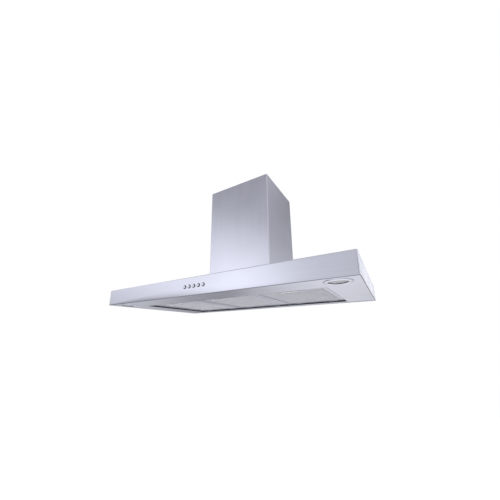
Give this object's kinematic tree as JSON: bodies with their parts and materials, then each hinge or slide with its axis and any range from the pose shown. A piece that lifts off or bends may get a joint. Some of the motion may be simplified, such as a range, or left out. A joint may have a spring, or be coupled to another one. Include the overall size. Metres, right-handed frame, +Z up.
{
  "type": "wall range hood",
  "caption": "T-shaped chimney range hood: slim box canopy with latched grease filters, lamps and push buttons, telescopic chimney, blower, duct collar and flaps.",
  "frame": {"origin": "on the wall plane, at the middle of the canopy's rear lower edge", "axes": "+X along the canopy's width to the right as seen from the front, +Y into the wall, +Z up"},
  "size_m": [0.9, 0.4785, 0.5121],
  "materials": {
    "canopy_steel": "brushed stainless steel, grain along the width",
    "chimney_steel": "brushed stainless steel, upright grain",
    "galvanised": "galvanised sheet, faint spangle",
    "filter_frame": "satin aluminium",
    "filter_mesh": "expanded aluminium mesh",
    "latch_cup": "grey moulded plastic",
    "latch_handle": "plated",
    "spring": "bright spring wire",
    "lamp_bezel": "polished plate",
    "lamp_lens": "frosted glass",
    "lamp_reflector": "bright spun aluminium",
    "lamp_bulb": "clear capsule on a ceramic base",
    "button": "satin plated cap",
    "black_plastic": "black moulded plastic",
    "ivory_plastic": "ivory moulded plastic",
    "circuit_board": "green solder mask",
    "screw": "zinc plated",
    "impeller": "stamped sheet",
    "shaft": "ground steel",
    "motor": "lacquered steel can",
    "bearing": "sintered bronze",
    "bush": "moulded rubber",
    "seal": "dark foam rubber strip",
    "capacitor": "white moulded can",
    "duct_plastic": "dark grey moulded plastic",
    "flap_plastic": "light grey moulded plastic",
    "wire": "white wire insulation"
  },
  "bodies": {
    "hood": {"canopy_shell": "canopy_steel", "back_panel": "galvanised", "underside_panel": "canopy_steel", "filter_seal": "seal", "lamp_bezel_left": "lamp_bezel", "lamp_bezel_right": "lamp_bezel", "lamp_lens_left": "lamp_lens", "lamp_lens_right": "lamp_lens", "lamp_housing_left": "lamp_reflector", "lamp_housing_right": "lamp_reflector", "lamp_bulb_left": "lamp_bulb", "lamp_bulb_right": "lamp_bulb", "button_sleeves": "black_plastic", "switch_block": "ivory_plastic", "switch_board": "circuit_board", "switch_screws": "screw", "chimney_cover": "chimney_steel", "canopy_screws": "screw", "blower_box": "galvanised", "scroll_left": "galvanised", "scroll_right": "galvanised", "motor_body": "motor", "motor_bearings": "bearing", "motor_bracket": "galvanised", "motor_bushes": "bush", "capacitor": "capacitor", "outlet_spigot": "duct_plastic", "terminal_box": "black_plastic", "terminal_lid": "black_plastic", "cable_gland": "black_plastic", "wiring_loom": "black_plastic", "lamp_leads": "wire", "blower_screws": "screw"},
    "filter_left": {"filter_frame_left": "filter_frame", "filter_mesh_left": "filter_mesh", "latch_cup_left": "latch_cup", "latch_springs_left": "spring"},
    "latch_left": {"latch_handle_left": "latch_handle"},
    "filter_centre": {"filter_frame_centre": "filter_frame", "filter_mesh_centre": "filter_mesh", "latch_cup_centre": "latch_cup", "latch_springs_centre": "spring"},
    "latch_centre": {"latch_handle_centre": "latch_handle"},
    "filter_right": {"filter_frame_right": "filter_frame", "filter_mesh_right": "filter_mesh", "latch_cup_right": "latch_cup", "latch_springs_right": "spring"},
    "latch_right": {"latch_handle_right": "latch_handle"},
    "button_1": {"button_1": "button"},
    "button_2": {"button_2": "button"},
    "button_3": {"button_3": "button"},
    "button_4": {"button_4": "button"},
    "button_5": {"button_5": "button"},
    "impeller": {"impeller": "impeller", "motor_shaft": "shaft"},
    "flap_front": {"flap_front": "flap_plastic"},
    "flap_rear": {"flap_rear": "flap_plastic"},
    "upper_chimney": {"upper_chimney": "chimney_steel", "chimney_bracket": "galvanised", "bracket_screws": "screw"}
  },
  "joints": [
    {"name": "filter_left_tilt", "type": "hinge", "parent": "hood", "child": "filter_left", "pos_m": [-0.238, -0.0398, 0.0072], "axis": [1, 0, 0], "range_deg": [0, 60]},
    {"name": "latch_left_pull", "type": "slide", "parent": "filter_left", "child": "latch_left", "axis": [0, 1, 0], "range_m": [0, 0.008], "stiffness_N_per_m": 500, "springref_m": -0.004, "deforming": ["latch_springs_left"]},
    {"name": "filter_centre_tilt", "type": "hinge", "parent": "hood", "child": "filter_centre", "pos_m": [0, -0.0398, 0.0072], "axis": [1, 0, 0], "range_deg": [0, 60]},
    {"name": "latch_centre_pull", "type": "slide", "parent": "filter_centre", "child": "latch_centre", "axis": [0, 1, 0], "range_m": [0, 0.008], "stiffness_N_per_m": 500, "springref_m": -0.004, "deforming": ["latch_springs_centre"]},
    {"name": "filter_right_tilt", "type": "hinge", "parent": "hood", "child": "filter_right", "pos_m": [0.238, -0.0398, 0.0072], "axis": [1, 0, 0], "range_deg": [0, 60]},
    {"name": "latch_right_pull", "type": "slide", "parent": "filter_right", "child": "latch_right", "axis": [0, 1, 0], "range_m": [0, 0.008], "stiffness_N_per_m": 500, "springref_m": -0.004, "deforming": ["latch_springs_right"]},
    {"name": "button_1_press", "type": "slide", "parent": "hood", "child": "button_1", "axis": [0, 1, 0], "range_m": [0, 0.0025], "stiffness_N_per_m": 600, "springref_m": -0.001},
    {"name": "button_2_press", "type": "slide", "parent": "hood", "child": "button_2", "axis": [0, 1, 0], "range_m": [0, 0.0025], "stiffness_N_per_m": 600, "springref_m": -0.001},
    {"name": "button_3_press", "type": "slide", "parent": "hood", "child": "button_3", "axis": [0, 1, 0], "range_m": [0, 0.0025], "stiffness_N_per_m": 600, "springref_m": -0.001},
    {"name": "button_4_press", "type": "slide", "parent": "hood", "child": "button_4", "axis": [0, 1, 0], "range_m": [0, 0.0025], "stiffness_N_per_m": 600, "springref_m": -0.001},
    {"name": "button_5_press", "type": "slide", "parent": "hood", "child": "button_5", "axis": [0, 1, 0], "range_m": [0, 0.0025], "stiffness_N_per_m": 600, "springref_m": -0.001},
    {"name": "impeller_spin", "type": "hinge", "parent": "hood", "child": "impeller", "pos_m": [0, -0.14, 0.156], "axis": [1, 0, 0], "continuous": true},
    {"name": "flap_front_swing", "type": "hinge", "parent": "hood", "child": "flap_front", "pos_m": [0, -0.117, 0.326], "axis": [-1, 0, 0], "range_deg": [0, 80]},
    {"name": "flap_rear_swing", "type": "hinge", "parent": "hood", "child": "flap_rear", "pos_m": [0, -0.107, 0.326], "axis": [1, 0, 0], "range_deg": [0, 80]},
    {"name": "upper_chimney_raise", "type": "slide", "parent": "hood", "child": "upper_chimney", "axis": [0, 0, 1], "range_m": [0, 0.36]}
  ]
}
